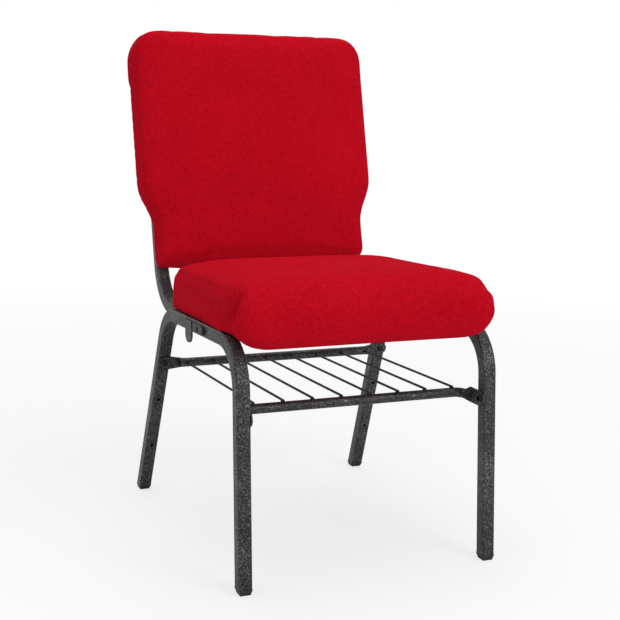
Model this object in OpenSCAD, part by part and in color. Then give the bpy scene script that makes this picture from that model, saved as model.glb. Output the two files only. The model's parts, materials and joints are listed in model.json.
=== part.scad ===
// Stacking conference chair with a steel frame, a padded seat and back, and a wire rack below the seat.
// Millimetres. +Z is up, the sitter looks towards -Y, and the origin is under the middle of the chair.

/* [Frame] */
// Side of the square frame tube
tube = 22; // [18:0.5:26]
// Wall of the frame tube
tube_wall = 1.5; // [1:0.1:2.5]
// Outside corner radius of the frame tube
tube_corner = 3; // [2.6:0.1:4]
// Centre of the chair to the outer face of a front leg
front_half_w = 222; // [205:1:245]
// Backward lean of the front legs, in degrees
front_lean = 4.3; // [2:0.1:6]
// Height of the rail's top face where the legs' line meets it
rail_h = 389.5; // [370:0.5:410]
// Fall of the rail towards the rear, in degrees
rail_fall = 2.4; // [1:0.1:3.5]
// Bend radius at both ends of the rail, to the tube's middle
bend_r = 74; // [60:1:84]
// Front of the chair to the front face of a rear foot
rear_foot_y = 530; // [500:1:560]
// Backward rake of the rear legs, in degrees
rear_rake = 20.6; // [16:0.1:22]
// Outward splay of the rear legs, in degrees
rear_splay = 1.6; // [0:0.1:4]

/* [Uprights] */
// Bend radius of an upright's heel, to the tube's middle
heel_r = 92; // [75:1:100]
// Length of an upright's foot along the rail, to its corner
upright_foot_l = 150; // [120:1:165]
// Length of an upright above its corner
upright_l = 470; // [440:1:480]

/* [Foot caps] */
// Height of a foot cap below the tube
foot_h = 9; // [6:0.5:14]
// Draw of a foot cap's base on each side
foot_draw = 2.6; // [1:0.1:4]
// Depth of a foot cap's plug in the tube
plug_l = 18; // [10:1:30]

/* [Seat] */
// Front of the chair to the nose of the seat
seat_y = 12; // [5:1:20]
// Rear edge of the seat
seat_rear_y = 402; // [385:1:412]
// How far each side of the seat's nose stands out of the frame
seat_proud = 2; // [-4:0.5:6]
// Height of the seat's edge above the rail
seat_edge_t = 66; // [50:1:75]
// Rise of the seat's crown above its edge
seat_crown = 18; // [6:1:22]
// Taper of each side of the seat, in degrees
seat_toe = 1.6; // [0:0.1:2.5]
// Drop of the front roll below the rail's top
roll_drop = 25; // [18:1:30]
// Pull of the cover at the rear of the front roll
seat_waist = 6; // [0:0.5:10]
// Thickness of the seat board
seat_board_t = 12; // [9:0.5:15]
// Side of the square cross member
cross = 19; // [16:0.5:22]
// Wall of the cross member
cross_wall = 1.2; // [1:0.1:2]

/* [Back] */
// Front of the chair to the line where the back's plane meets the floor
back_y = 357; // [340:1:375]
// Backward lean of the back, in degrees
back_lean = 15.1; // [12:0.1:18]
// Bottom edge of the back along its plane
back_low = 450; // [435:1:470]
// Top edge of the back along its plane
back_top = 888; // [860:1:910]
// Half of the back's width above the step
back_half_w = 229.5; // [210:0.5:240]
// Half of the back's width below the step
back_low_half_w = 204; // [188:1:210]
// Thickness of the back pad with its board
back_t = 49; // [40:1:60]
// Rise of the back's crown
back_crown = 9; // [3:1:14]
// Thickness of the back board
back_board_t = 11; // [8:0.5:14]
// Thickness of the hood behind the uprights' tops
hood_t = 28; // [25:1:36]
// Length of the hood down from the top
hood_l = 100; // [90:1:150]
// Rise of the hood's crown at its rear
hood_crown = 2; // [1:0.5:4]

/* [Rack] */
// Diameter of a rack bar
bar_d = 16; // [12:0.5:20]
// Wall of a rack bar
bar_wall = 1.2; // [1:0.1:2]
// Height of the rack bars' middle
rack_h = 267; // [240:1:290]
// Front of the chair to the middle of the front rack bar
front_bar_y = 82; // [74:1:100]
// Height of a bar's flattened end
tab_h = 25; // [20:0.5:30]
// Diameter of a rack wire
wire_d = 4; // [3:0.1:5]
// Number of rack wires
wires = 8; // [8]
// Spacing of the rack wires
wire_pitch = 49.8; // [44:0.1:52]
// Drop from the rack to the upper spare hole in a rear leg
spare_drop = 75; // [60:1:90]
// Drop from the upper to the lower spare hole
spare_pitch = 96; // [70:1:110]
// Diameter of a rack bolt
bolt_d = 6; // [5:0.5:8]

/* [Side fittings] */
// Front of the chair to the middle of the stacking bumpers
bumper_y = 203; // [190:1:215]
// Length of a stacking bumper
bumper_l = 50; // [40:1:60]
// Height of a stacking bumper
bumper_h = 15; // [12:0.5:18]
// Thickness of a stacking bumper
bumper_t = 4; // [3:0.1:5]
// Front of the chair to the middle of the row-linking tongue and loop
link_y = 254; // [250:1:300]
// Width of the row-linking tongue
tongue_w = 32; // [26:1:40]
// Reach of the tongue below the rail
tongue_drop = 18; // [14:1:30]
// Thickness of the tongue and of the loop's strap
link_t = 3; // [2:0.1:4]
// Room between the loop's strap and the rail
loop_room = 5; // [4:0.5:6]

/* [Hidden] */
$fn = 48;

frame_paint = [0.29, 0.29, 0.30];
black_plastic = [0.07, 0.07, 0.07];
red_fabric = [0.66, 0.06, 0.12];
plywood = [0.72, 0.58, 0.40];
zinc = [0.62, 0.63, 0.64];
black_steel = [0.10, 0.10, 0.10];

over = 1;
touch = 0.2;
soft_gap = 0.5;
hole_play = 0.2;
half = tube / 2;
tube_bore = tube - 2 * tube_wall;
big = 2 * back_top;
seat_half_w = front_half_w + seat_proud;

// Corners of the seat frame's middle line, as distance from the front and height
leg_foot = [half / cos(front_lean), 0];
leg_top_z = rail_h - half / cos(rail_fall);
leg_top = [leg_foot[0] + leg_top_z * tan(front_lean), leg_top_z];
rail_z0 = leg_top[1] + leg_top[0] * tan(rail_fall);
rear_foot_mid = [rear_foot_y + half / cos(rear_rake), 0];
rear_top_y = (rear_foot_mid[0] - rail_z0 * tan(rear_rake)) / (1 - tan(rear_rake) * tan(rail_fall));
rear_top = [rear_top_y, rail_z0 - rear_top_y * tan(rail_fall)];
frame_line = [leg_foot, leg_top, rear_top, rear_foot_mid];
bend_radii = [0, bend_r, bend_r, 0];
rail_mid_y = (leg_top[0] + rear_top[0]) / 2;
rail_start_y = leg_top[0] + bend_r * tan((90 - front_lean + rail_fall) / 2) * cos(rail_fall);

// Corners of an upright's middle line: a foot beside the rail, a heel and a top
upright_w = back_t + touch + half;
upright_y0 = back_y + upright_w / cos(back_lean);
heel_y = (upright_y0 + rail_z0 * tan(back_lean)) / (1 + tan(rail_fall) * tan(back_lean));
heel = [heel_y, rail_z0 - heel_y * tan(rail_fall)];
upright_start = heel + upright_foot_l * [-cos(rail_fall), sin(rail_fall)];
upright_line = [upright_start, heel, heel + upright_l * [sin(back_lean), cos(back_lean)]];
upright_radii = [0, heel_r, 0];

// The chair's depth, from the front feet to the hood, sets the origin
hood_corner = hood_t - 2 * tube_corner;
hood_w = back_t + hood_t;
rear_edge = back_y + (hood_w - hood_corner) * cos(back_lean)
    + (back_top - hood_corner) * sin(back_lean) + hood_corner;
front_edge = foot_h * tan(front_lean);
mid_y = (front_edge + rear_edge) / 2;

function heading(a, b) = atan2(b[1] - a[1], b[0] - a[0]);
function wrap(a) = a > 180 ? a - 360 : a < -180 ? a + 360 : a;
function turn(p, i) = wrap(heading(p[i], p[i + 1]) - heading(p[i - 1], p[i]));
function trim(p, r, i) = (i == 0 || i == len(p) - 1) ? 0 : r[i] * tan(abs(turn(p, i)) / 2);
function ahead(a, d) = d * [cos(a), sin(a)];

module rounded_square(side, r) {
    square([side - 2 * r, side], center = true);
    square([side, side - 2 * r], center = true);
    for (x = [-1, 1], y = [-1, 1]) translate([x, y] * (side / 2 - r)) circle(r);
}

module tube_section(side, wall, corner) {
    difference() {
        rounded_square(side, corner);
        rounded_square(side - 2 * wall, corner - wall);
    }
}

// Stations along a line of corners with bends: each is a point and the line's heading there
bend_steps = 16;
function stations(line, radii) = [for (i = [0 : len(line) - 1])
    let (t = i > 0 && i < len(line) - 1 ? turn(line, i) : 0)
    each t == 0
        ? [[line[i], heading(line[max(0, i - 1)], line[max(1, i)])]]
        : let (
            a = heading(line[i - 1], line[i]),
            hub = line[i] - ahead(a, trim(line, radii, i)) + ahead(a + 90 * sign(t), radii[i]))
            [for (k = [0 : bend_steps]) let (b = a + t * k / bend_steps)
                [hub + ahead(b - 90 * sign(t), radii[i]), b]]];

// A rounded square round a station: x is across the line's plane, y and z lie in it
corner_steps = 4;
function ring(station, side, corner) = [for (q = [0 : 3], k = [0 : corner_steps])
    let (
        a = 90 * (q + k / corner_steps),
        c = 90 * q,
        reach = side / 2 - corner,
        across = reach * (sin(c) - cos(c)) - corner * cos(a),
        up = reach * (cos(c) + sin(c)) + corner * sin(a))
    [across, station[0][0] - up * sin(station[1]), station[0][1] + up * cos(station[1])]];

// A point of a seat frame's side, turned outwards about the rail's middle line
function splayed(q, a) =
    let (
        y = q[1] - leg_top[0],
        z = q[2] - leg_top[1],
        along = y * cos(rail_fall) - z * sin(rail_fall),
        up = y * sin(rail_fall) + z * cos(rail_fall),
        turned = q[0] * sin(a) + up * cos(a))
    [q[0] * cos(a) - up * sin(a),
        leg_top[0] + along * cos(rail_fall) + turned * sin(rail_fall),
        leg_top[1] - along * sin(rail_fall) + turned * cos(rail_fall)];

function lengthened(line, d) = let (n = len(line) - 1) [for (i = [0 : n])
    i == 0 ? line[0] - ahead(heading(line[0], line[1]), d)
        : i == n ? line[n] + ahead(heading(line[n - 1], line[n]), d)
        : line[i]];

module rod(places, side, corner, splay_y) {
    loft([for (p = places) [for (q = ring(p, side, corner)) splayed(q, p[0][0] > splay_y ? rear_splay : 0)]]);
}

// One bent tube along a line in the YZ plane, splayed where it lies behind splay_y
module bent(line, radii, splay_y = big) {
    difference() {
        rod(stations(line, radii), tube, tube_corner, splay_y);
        rod(stations(lengthened(line, over), radii), tube_bore, tube_corner - tube_wall, splay_y);
    }
}

module chair() {
    translate([0, -mid_y, 0]) children();
}

// A side's own frame: the seat frame's outer face at x = 0, y to the rear, z up
module on_side(s) {
    chair() mirror([s < 0 ? 1 : 0, 0, 0]) translate([front_half_w, 0, 0]) children();
}

// The rear leg is turned outwards about the rail's middle line
module on_rear_leg(s) {
    on_side(s) translate([-half, leg_top[0], leg_top[1]]) rotate([-rail_fall, 0, 0])
        rotate([0, -rear_splay, 0]) rotate([rail_fall, 0, 0])
        translate([half, -leg_top[0], -leg_top[1]]) children();
}

// The middle of the rail's outer face, x pointing out of it
module on_rail(s, y) {
    on_side(s) translate([0, y, rail_z0 - y * tan(rail_fall)]) rotate([-rail_fall, 0, 0]) children();
}

module below(z) {
    translate([-big / 2, -big / 2, z - big]) cube(big);
}

// The seat's own frame: the rail's top face is z = 0
module on_seat() {
    chair() translate([0, leg_top[0], leg_top[1]]) rotate([-rail_fall, 0, 0])
        translate([0, -leg_top[0] / cos(rail_fall), half]) children();
}

// The back's own frame: y is the depth behind its front plane, z runs up it
module on_back() {
    chair() translate([0, back_y, 0]) rotate([-back_lean, 0, 0]) children();
}

inner_x = front_half_w - tube;
upright_x = inner_x - half;

module side_bore(y, z, r, depth) {
    translate([-tube - over, y, z]) rotate([0, 90, 0]) cylinder(h = depth + over, r = r);
}

bolt_r = bolt_d / 2;
insert_r = bolt_r + tube_wall;
tab_t = 2 * bar_wall;
leg_mid_y = leg_foot[0] + rack_h * tan(front_lean);
upright_bolt_low = back_low + 2 * tube;
upright_bolt_high = back_top - hood_l - 2 * tube;
spare_z = [for (i = [0, 1]) rack_h - spare_drop - i * spare_pitch];

module seat_frame(s) color(frame_paint) {
    difference() {
        on_side(s) translate([-half, 0, 0]) bent(frame_line, bend_radii, rail_mid_y);
        below(foot_h);
        on_side(s) side_bore(leg_mid_y, rack_h, insert_r, 2 * tube_wall);
        on_leg_face(s, rack_h) cylinder(h = 4 * tube_wall, r = insert_r, center = true);
        for (z = spare_z) on_leg_face(s, z)
            cylinder(h = 4 * tube_wall, r = bolt_r + hole_play, center = true);
        on_rail(s, bumper_y) rotate([0, 90, 0])
            cylinder(h = 4 * tube_wall, r = screw_r + hole_play, center = true);
    }
}

// An upright stands against the inner face of its rail
module upright(s) color(frame_paint) {
    difference() {
        on_side(s) translate([-tube - half, 0, 0]) bent(upright_line, upright_radii);
        for (v = [upright_bolt_low, upright_bolt_high]) back_bolt_line(s, v)
            cylinder(h = 2 * tube, r = bolt_r + hole_play);
    }
}

// Upright bolts run forwards from the tube's rear face into the back board
upright_rear_w = upright_w + half;
module back_bolt_line(s, v) {
    on_back() translate([s * upright_x, upright_rear_w + over, v]) rotate([90, 0, 0]) children();
}

// A point on the middle of a rear leg's front face, z pointing out of it
module on_leg_face(s, z) {
    on_rear_leg(s) translate([-half, rear_foot_y - z * tan(rear_rake), z])
        rotate([90 + rear_rake, 0, 0]) children();
}

// A foot cap is a plug in the tube on a base that draws in to the floor
module foot_cap(lean_y, lean_x) color(black_plastic) {
    section = tube / cos(lean_y);
    intersection() {
        rotate([90, 0, 90]) translate([0, 0, -tube])
            linear_extrude(2 * tube) polygon([
                [-section / 2 + foot_draw, 0],
                [section / 2 - foot_draw, 0],
                [section / 2 + foot_h * tan(lean_y), foot_h],
                [-section / 2 + foot_h * tan(lean_y), foot_h]]);
        rotate([90, 0, 0]) translate([0, 0, -tube])
            linear_extrude(2 * tube) polygon([
                [-half + foot_draw, 0],
                [half - foot_draw, 0],
                [half + foot_h * tan(lean_x), foot_h],
                [-half + foot_h * tan(lean_x), foot_h]]);
    }
    difference() {
        rotate([0, lean_x, 0]) rotate([-lean_y, 0, 0]) linear_extrude(foot_h + plug_l)
            rounded_square(tube_bore - 2 * touch, tube_corner - tube_wall);
        below(foot_h - touch);
    }
}

module front_foot(s) {
    on_side(s) translate([-half, leg_foot[0], 0]) foot_cap(front_lean, 0);
}

module rear_foot(s) {
    drop = rail_z0 - rear_foot_mid[0] * tan(rail_fall);
    on_side(s) translate([-half + drop * tan(rear_splay), rear_foot_mid[0], 0])
        foot_cap(-rear_rake, -rear_splay);
}

front_cross_y = rail_start_y + cross;
rear_cross_y = upright_start[0] - cross;
seat_screw_x = front_half_w / 2;
screw_r = bolt_r - tube_wall / 2;
screw_head_r = 2 * screw_r;

module cross_member(y) color(frame_paint) {
    difference() {
        on_seat() translate([-inner_x, y, -cross / 2]) rotate([90, 0, 90])
            linear_extrude(2 * inner_x) tube_section(cross, cross_wall, tube_corner - cross_wall / 2);
        on_seat() for (x = [-1, 1]) translate([x * seat_screw_x, y, -cross - over])
            cylinder(h = cross + 2 * over, r = screw_r + hole_play);
    }
}

// Flat-bottomed frames carry a board that is tapered like them
board_edge = seat_board_t / 2;
board_front_y = rail_start_y - bend_r / 2;
function seat_half(y) = seat_half_w - (y - seat_y) * tan(seat_toe)
    - seat_waist * exp(-pow((y - seat_y - roll_deep) / tube, 2));
function straight_half(y) = seat_half_w - seat_waist - (y - seat_y) * tan(seat_toe);

module board_outline(gap) {
    polygon([
        [-straight_half(board_front_y) + board_edge - gap, board_front_y - gap],
        [straight_half(board_front_y) - board_edge + gap, board_front_y - gap],
        [straight_half(seat_rear_y) - board_edge + gap, seat_rear_y - board_edge + gap],
        [-straight_half(seat_rear_y) + board_edge - gap, seat_rear_y - board_edge + gap]]);
}

module seat_board() color(plywood) {
    difference() {
        on_seat() linear_extrude(seat_board_t) board_outline(0);
        on_seat() for (x = [-1, 1], y = [front_cross_y, rear_cross_y])
            translate([x * seat_screw_x, y, -over])
            cylinder(h = seat_board_t - 2 * touch + over, r = screw_r + touch / 2);
    }
}

module seat_screws() color(zinc) {
    on_seat() for (x = [-1, 1], y = [front_cross_y, rear_cross_y])
        translate([x * seat_screw_x, y, -cross]) {
            cylinder(h = cross + seat_board_t - over, r = screw_r);
            translate([0, 0, -screw_r]) cylinder(h = screw_r, r = screw_head_r);
        }
}

// A closed skin over equal loops of points: loops[i] goes round with as many points on each half
module loft(loops) {
    n = len(loops[0]);
    m = len(loops);
    points = [for (l = loops, p = l) p];
    sides = [for (i = [0 : m - 2], j = [0 : n - 1])
        let (a = i * n + j, b = i * n + (j + 1) % n)
        each [[a, a + n, b], [b, a + n, b + n]]];
    first = [for (j = [0 : n / 2 - 2])
        each [[j, j + 1, n - 1 - j], [j + 1, n - 2 - j, n - 1 - j]]];
    last = [for (f = first) [for (k = [2, 1, 0]) f[k] + (m - 1) * n]];
    polyhedron(points, concat(sides, first, last));
}

function arc(c, r, from, to, n) = [for (i = [0 : n]) let (a = from + (to - from) * i / n)
    [c[0] + r[0] * cos(a), c[1] + r[1] * sin(a)]];
function inset(d, r) = d < r ? r - sqrt(r * r - (r - d) * (r - d)) : 0;

seat_mid_y = (seat_y + seat_rear_y) / 2;
seat_reach = (seat_rear_y - seat_y) / 2;
roll_deep = 2.3 * tube;
nose_corner_r = 1.4 * tube;
roll_under = 1.5 * tube;
roll_end_r = 2.5 * tube;
roll_end_rise = 1.6 * tube;
nose_z = seat_edge_t / 4;
seat_edge_r = seat_edge_t / 4;
bend_outer_r = bend_r + half + soft_gap;
bend_hub_z = -bend_r - half;
function bend_z(y) = bend_hub_z + sqrt(max(0, pow(bend_outer_r, 2) - pow(rail_start_y - y, 2)));

function crown_z(y, s) = seat_edge_t
    + seat_crown * (1 - pow(s, 6)) * (1 - pow((y - seat_mid_y) / seat_reach, 8));

// Half loops of the seat at a share s of its half width, from the nose to the rear
function seat_loop(s, d) =
    let (
        lid = inset(d, seat_edge_r),
        front = seat_y + inset(d, nose_corner_r),
        rear = seat_rear_y - inset(d, tube),
        low = -roll_drop + roll_end_rise * inset(d, roll_end_r) / roll_end_r,
        lip_z = crown_z(front + roll_deep, s) - lid,
        rear_z = crown_z(rear - seat_edge_r, s) - lid,
        top = concat(
            arc([front + roll_deep, nose_z], [roll_deep, lip_z - nose_z], 180, 90, 8),
            [for (i = [1 : 7]) let (y = front + roll_deep + (rear - seat_edge_r - front - roll_deep) * i / 8)
                [y, crown_z(y, s) - lid]],
            arc([rear - seat_edge_r, rear_z - seat_edge_r], [seat_edge_r, seat_edge_r], 90, 0, 4)),
        belly_y = front + roll_under,
        bottom = concat(
            arc([belly_y, nose_z], [belly_y - front, nose_z - low], 190, 270, 7),
            [for (i = [1 : 7]) let (y = belly_y + (rail_start_y - belly_y) * i / 7)
                [y, max(bend_z(y), low + (soft_gap - low) * i / 7)]],
            [for (i = [1 : 5]) [rail_start_y + (rear - board_edge - rail_start_y) * i / 5, soft_gap]],
            [[rear, soft_gap + board_edge]]))
    [for (p = concat(top, [for (i = [len(bottom) - 1 : -1 : 0]) bottom[i]]))
        [s * seat_half(p[0]), p[0], p[1]]];

seat_steps = 12;
seat_places = [for (i = [0 : 2 * seat_steps]) let (k = abs(i - seat_steps) / seat_steps)
    sign(seat_steps - i) * (1 - pow(1 - k, 2.2))];

module seat_cushion() color(red_fabric) {
    difference() {
        on_seat() loft([for (s = seat_places) seat_loop(s, (1 - abs(s)) * seat_half_w)]);
        on_seat() translate([0, 0, -over])
            linear_extrude(seat_board_t + touch + over) board_outline(touch);
    }
}

// Half of the back's width at a height up its plane
step_low = back_low + 3 * tube + tube / 2;
step_high = step_low + 3.5 * tube;
back_corner_r = 2.3 * tube;
back_foot_r = tube;
function smooth(t) = t <= 0 ? 0 : t >= 1 ? 1 : t * t * (3 - 2 * t);
function back_half(v) = back_low_half_w
    + (back_half_w - back_low_half_w) * smooth((v - step_low) / (step_high - step_low))
    - inset(max(0, back_top - v), back_corner_r) - inset(max(0, v - back_low), back_foot_r);

back_mid_v = (back_low + back_top) / 2;
back_reach = (back_top - back_low) / 2;
back_edge_r = back_t / 3;

// A loop across the back at height v: near is its front, far its rear, bulge its crown towards the front
function pad_loop(v, half_w, near, far, edge, back, bulge) =
    let (
        r = min(edge, far - near - back - touch),
        flat_x = half_w - edge,
        right = concat(
            [for (i = [0 : 4]) let (x = (i + 0.5) / 5 * flat_x)
                [x, near - bulge * (1 - pow(x / half_w, 2))]],
            [for (i = [0 : 4]) let (a = 90 * i / 4)
                [flat_x + edge * sin(a),
                    near + r * (1 - cos(a)) - bulge * (1 - pow(flat_x / half_w, 2)) * cos(a)]],
            [for (i = [0 : 3]) let (a = 90 * i / 3)
                [half_w - back + back * cos(a), far - back + back * sin(a)]]))
    concat([for (p = right) [p[0], p[1], v]],
        [for (i = [len(right) - 1 : -1 : 0]) [-right[i][0], right[i][1], v]]);

back_steps = 28;
crown_loss_share = 0.85;
back_heights = [for (i = [0 : back_steps]) back_mid_v - back_reach * cos(180 * i / back_steps)];

function back_loop(v) =
    let (end = min(back_top - v, v - back_low))
    pad_loop(v, back_half(v),
        inset(max(0, end), back_edge_r), back_t - back_board_t - touch, back_edge_r, board_edge,
        back_crown * (1 - crown_loss_share * pow((v - back_mid_v) / back_reach, 4)));

module back_outline(gap, low, top) {
    steps = [for (i = [0 : back_steps]) low + (top - low) * (1 - cos(180 * i / back_steps)) / 2];
    polygon(concat(
        [for (v = steps) [back_half(v) - board_edge + gap, v]],
        [for (i = [back_steps : -1 : 0]) [-back_half(steps[i]) + board_edge - gap, steps[i]]]));
}

// Extrudes an outline of the back between two depths
module back_slab(from, to) {
    on_back() translate([0, to, 0]) rotate([90, 0, 0]) linear_extrude(to - from) children();
}

module back_board() color(plywood) {
    difference() {
        back_slab(back_t - back_board_t, back_t)
            back_outline(0, back_low + board_edge, back_top - board_edge);
        for (s = [-1, 1], v = [upright_bolt_low, upright_bolt_high]) back_bolt_line(s, v)
            cylinder(h = back_bolt_l + touch, r = bolt_r + touch / 2);
    }
}

module back_cushion() color(red_fabric) {
    on_back() loft([for (v = back_heights) back_loop(v)]);
}

back_bolt_l = over + tube + back_board_t;
module back_screws() color(zinc) {
    for (s = [-1, 1], v = [upright_bolt_low, upright_bolt_high]) back_bolt_line(s, v) {
        translate([0, 0, over]) cylinder(h = back_bolt_l - over, r = bolt_r);
        translate([0, 0, over - bolt_r]) cylinder(h = bolt_r, r = 2 * bolt_r);
    }
}

// The hood closes the tops of the uprights behind the back
hood_low = back_top - hood_l;
hood_heights = [for (i = [0 : back_steps / 2])
    hood_low + hood_l * (1 - cos(360 * i / back_steps)) / 2];
function hood_loop(v) =
    let (end = max(0, min(back_top - v, v - hood_low)), rear = hood_w - inset(end, hood_corner))
    [for (p = pad_loop(v, back_half(v), hood_crown, rear - back_t - touch, hood_corner, tube_wall, hood_crown))
        [-p[0], rear - p[1], v]];

upright_top = upright_line[2] - [back_y, 0];
upright_top_v = upright_top[0] * sin(back_lean) + upright_top[1] * cos(back_lean);
module back_hood() color(red_fabric) {
    difference() {
        on_back() loft([for (v = hood_heights) hood_loop(v)]);
        on_back() for (s = [-1, 1]) translate([s * upright_x - half - touch, back_t, hood_low - over])
            cube([tube + 2 * touch, tube + 2 * touch, upright_top_v + touch + over - hood_low]);
    }
}

rear_panel_t = tube / 4;
module back_rear_panel() color(red_fabric) {
    low = back_low + tube;
    high = hood_low - touch;
    w = upright_x - tube;
    back_slab(back_t + touch, back_t + touch + rear_panel_t) translate([0, (low + high) / 2]) {
        square([2 * w, high - low - 2 * board_edge], center = true);
        square([2 * (w - board_edge), high - low], center = true);
        for (x = [-1, 1], y = [-1, 1])
            translate([x * (w - board_edge), y * ((high - low) / 2 - board_edge)]) circle(board_edge);
    }
}

bar_r = bar_d / 2;
rear_face_y = rear_foot_y - rack_h * tan(rear_rake);
rear_bar_y = rear_face_y - bar_r;
tab_half = tab_h / 2;

// A flat, round-ended tab with its bolt hole at the origin, lying on the plane z = 0
module tab(length, neck = 0) {
    difference() {
        linear_extrude(tab_t) {
            circle(tab_half);
            translate([0, -tab_half]) square([length, tab_h]);
            if (neck > 0) polygon([
                [length, -tab_half],
                [length + neck, -bar_r],
                [length + neck, bar_r],
                [length, tab_half]]);
        }
        translate([0, 0, -over]) cylinder(h = tab_t + 2 * over, r = bolt_r + hole_play);
    }
}

module bar_section() {
    difference() {
        circle(bar_r);
        circle(bar_r - bar_wall);
    }
}

rear_bar_half = front_half_w - tube - tab_h / 2;
module rack_rear_bar() color(frame_paint) {
    chair() translate([-rear_bar_half, rear_bar_y, rack_h]) rotate([0, 90, 0])
        linear_extrude(2 * rear_bar_half) bar_section();
    for (s = [-1, 1]) on_leg_face(s, rack_h) mirror([1, 0, 0]) tab(tab_half, tab_h);
}

front_tab_l = 2 * tube;
front_turn_r = bar_d;
front_bar_half = inner_x - bar_r;
module rack_front_bar() color(frame_paint) {
    chair() translate([-front_bar_half + front_turn_r, front_bar_y, rack_h]) rotate([0, 90, 0])
        linear_extrude(2 * (front_bar_half - front_turn_r)) bar_section();
    for (s = [-1, 1]) {
        chair() mirror([s < 0 ? 1 : 0, 0, 0])
            translate([front_bar_half - front_turn_r, front_bar_y - front_turn_r, rack_h])
            rotate_extrude(angle = 90) translate([front_turn_r, 0]) bar_section();
        on_front_tab(s) tab(front_tab_l - tab_half);
        hull() {
            on_front_tab(s) translate([front_tab_l - tab_half, -tab_half, 0]) cube([touch, tab_h, tab_t]);
            chair() translate([s * front_bar_half, front_bar_y - front_turn_r, rack_h]) rotate([-90, 0, 0])
                cylinder(h = bar_wall, r = bar_r - touch, $fn = 32);
        }
    }
}

// The tab's bolt on the inner face of a front leg, x along the leg's depth and z towards the middle
module on_front_tab(s) {
    on_side(s) translate([-tube, leg_mid_y, rack_h]) rotate([0, 0, 90]) rotate([90, 0, 0])
        mirror([0, 0, 1]) children();
}

wire_r = wire_d / 2;
module rack_wire(i) color(frame_paint) {
    x = (i - (wires + 1) / 2) * wire_pitch;
    front = [front_bar_y - wire_r, rack_h + bar_r + wire_r];
    rear = [rear_bar_y, rack_h];
    slope = atan2(front[1] - rear[1], rear[0] - front[0]);
    difference() {
        chair() translate([x, rear[0], rear[1]]) rotate([90 - slope, 0, 0])
            cylinder(h = norm(rear - front), r = wire_r);
        chair() translate([x - tube, rear_bar_y, rack_h]) rotate([0, 90, 0])
            cylinder(h = 2 * tube, r = bar_r);
    }
}

module rack_bolt_places() {
    for (s = [-1, 1]) {
        on_front_tab(s) translate([0, 0, tab_t]) children();
        on_leg_face(s, rack_h) translate([0, 0, tab_t]) children();
    }
}

module rack_bolts() color(black_steel) {
    rack_bolt_places() {
        cylinder(h = bolt_r, r = 1.8 * bolt_r);
        translate([0, 0, -tab_t - 3 * tube_wall]) cylinder(h = tab_t + 3 * tube_wall, r = bolt_r);
    }
}

module rack_inserts() color(zinc) {
    rack_bolt_places() translate([0, 0, -tab_t - 4 * tube_wall]) difference() {
        cylinder(h = 4 * tube_wall, r = insert_r - touch / 2);
        translate([0, 0, -over]) cylinder(h = 4 * tube_wall + 2 * over, r = bolt_r + touch / 2);
    }
}

bumper_r = bumper_h / 3;
bumper_z = half - tube_corner - bumper_h / 2;
module bumper(s) color(black_plastic) {
    difference() {
        on_rail(s, bumper_y) translate([0, 0, bumper_z]) rotate([90, 0, 90]) linear_extrude(bumper_t) {
            square([bumper_l - 2 * bumper_r, bumper_h], center = true);
            square([bumper_l, bumper_h - 2 * bumper_r], center = true);
            for (x = [-1, 1], y = [-1, 1])
                translate([x * (bumper_l / 2 - bumper_r), y * (bumper_h / 2 - bumper_r)]) circle(bumper_r);
        }
        on_rail(s, bumper_y) rotate([0, 90, 0]) cylinder(h = 2 * bumper_t + over, r = screw_r + hole_play);
        on_rail(s, bumper_y) translate([bumper_t / 2, 0, 0]) rotate([0, 90, 0])
            cylinder(h = bumper_t, r = screw_head_r + hole_play);
    }
}

module bumper_screws() color(zinc) {
    for (s = [-1, 1]) on_rail(s, bumper_y) {
        translate([-4 * tube_wall, 0, 0]) rotate([0, 90, 0])
            cylinder(h = 4 * tube_wall + bumper_t / 2, r = screw_r);
        translate([bumper_t / 2, 0, 0]) rotate([0, 90, 0]) cylinder(h = bumper_t / 4, r = screw_head_r);
    }
}

// A flat tongue on the left rail drops into the loop of the next chair in a row
module ganging_tongue() color(frame_paint) {
    tip_r = tongue_w * 0.45;
    on_rail(-1, link_y) rotate([90, 0, 90]) linear_extrude(link_t) {
        translate([-tongue_w / 2, tip_r - half - tongue_drop])
            square([tongue_w, tongue_drop + tube - tube_corner - tip_r]);
        for (x = [-1, 1]) translate([x * (tongue_w / 2 - tip_r), tip_r - half - tongue_drop]) circle(tip_r);
        translate([tip_r - tongue_w / 2, -half - tongue_drop]) square([tongue_w - 2 * tip_r, tip_r]);
    }
}

module ganging_loop() color(frame_paint) {
    inner = tongue_w + link_t;
    on_rail(1, link_y) translate([0, 0, -half / 2]) linear_extrude(half) difference() {
        translate([0, -inner / 2 - link_t]) square([loop_room + link_t, inner + 2 * link_t]);
        translate([-over, -inner / 2]) square([loop_room + over, inner]);
    }
}

seat_frame(-1);  // left_seat_frame
seat_frame(1);  // right_seat_frame
upright(-1);  // left_upright
upright(1);  // right_upright
cross_member(front_cross_y);  // front_cross_member
cross_member(rear_cross_y);  // rear_cross_member
front_foot(-1);  // front_left_foot
front_foot(1);  // front_right_foot
rear_foot(-1);  // rear_left_foot
rear_foot(1);  // rear_right_foot
seat_board();
seat_cushion();
seat_screws();
back_board();
back_cushion();
back_rear_panel();
back_hood();
back_screws();
rack_front_bar();
rack_rear_bar();
for (i = [1 : wires]) rack_wire(i);
rack_bolts();
rack_inserts();
bumper(-1);  // left_bumper
bumper(1);  // right_bumper
bumper_screws();
ganging_tongue();
ganging_loop();
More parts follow.
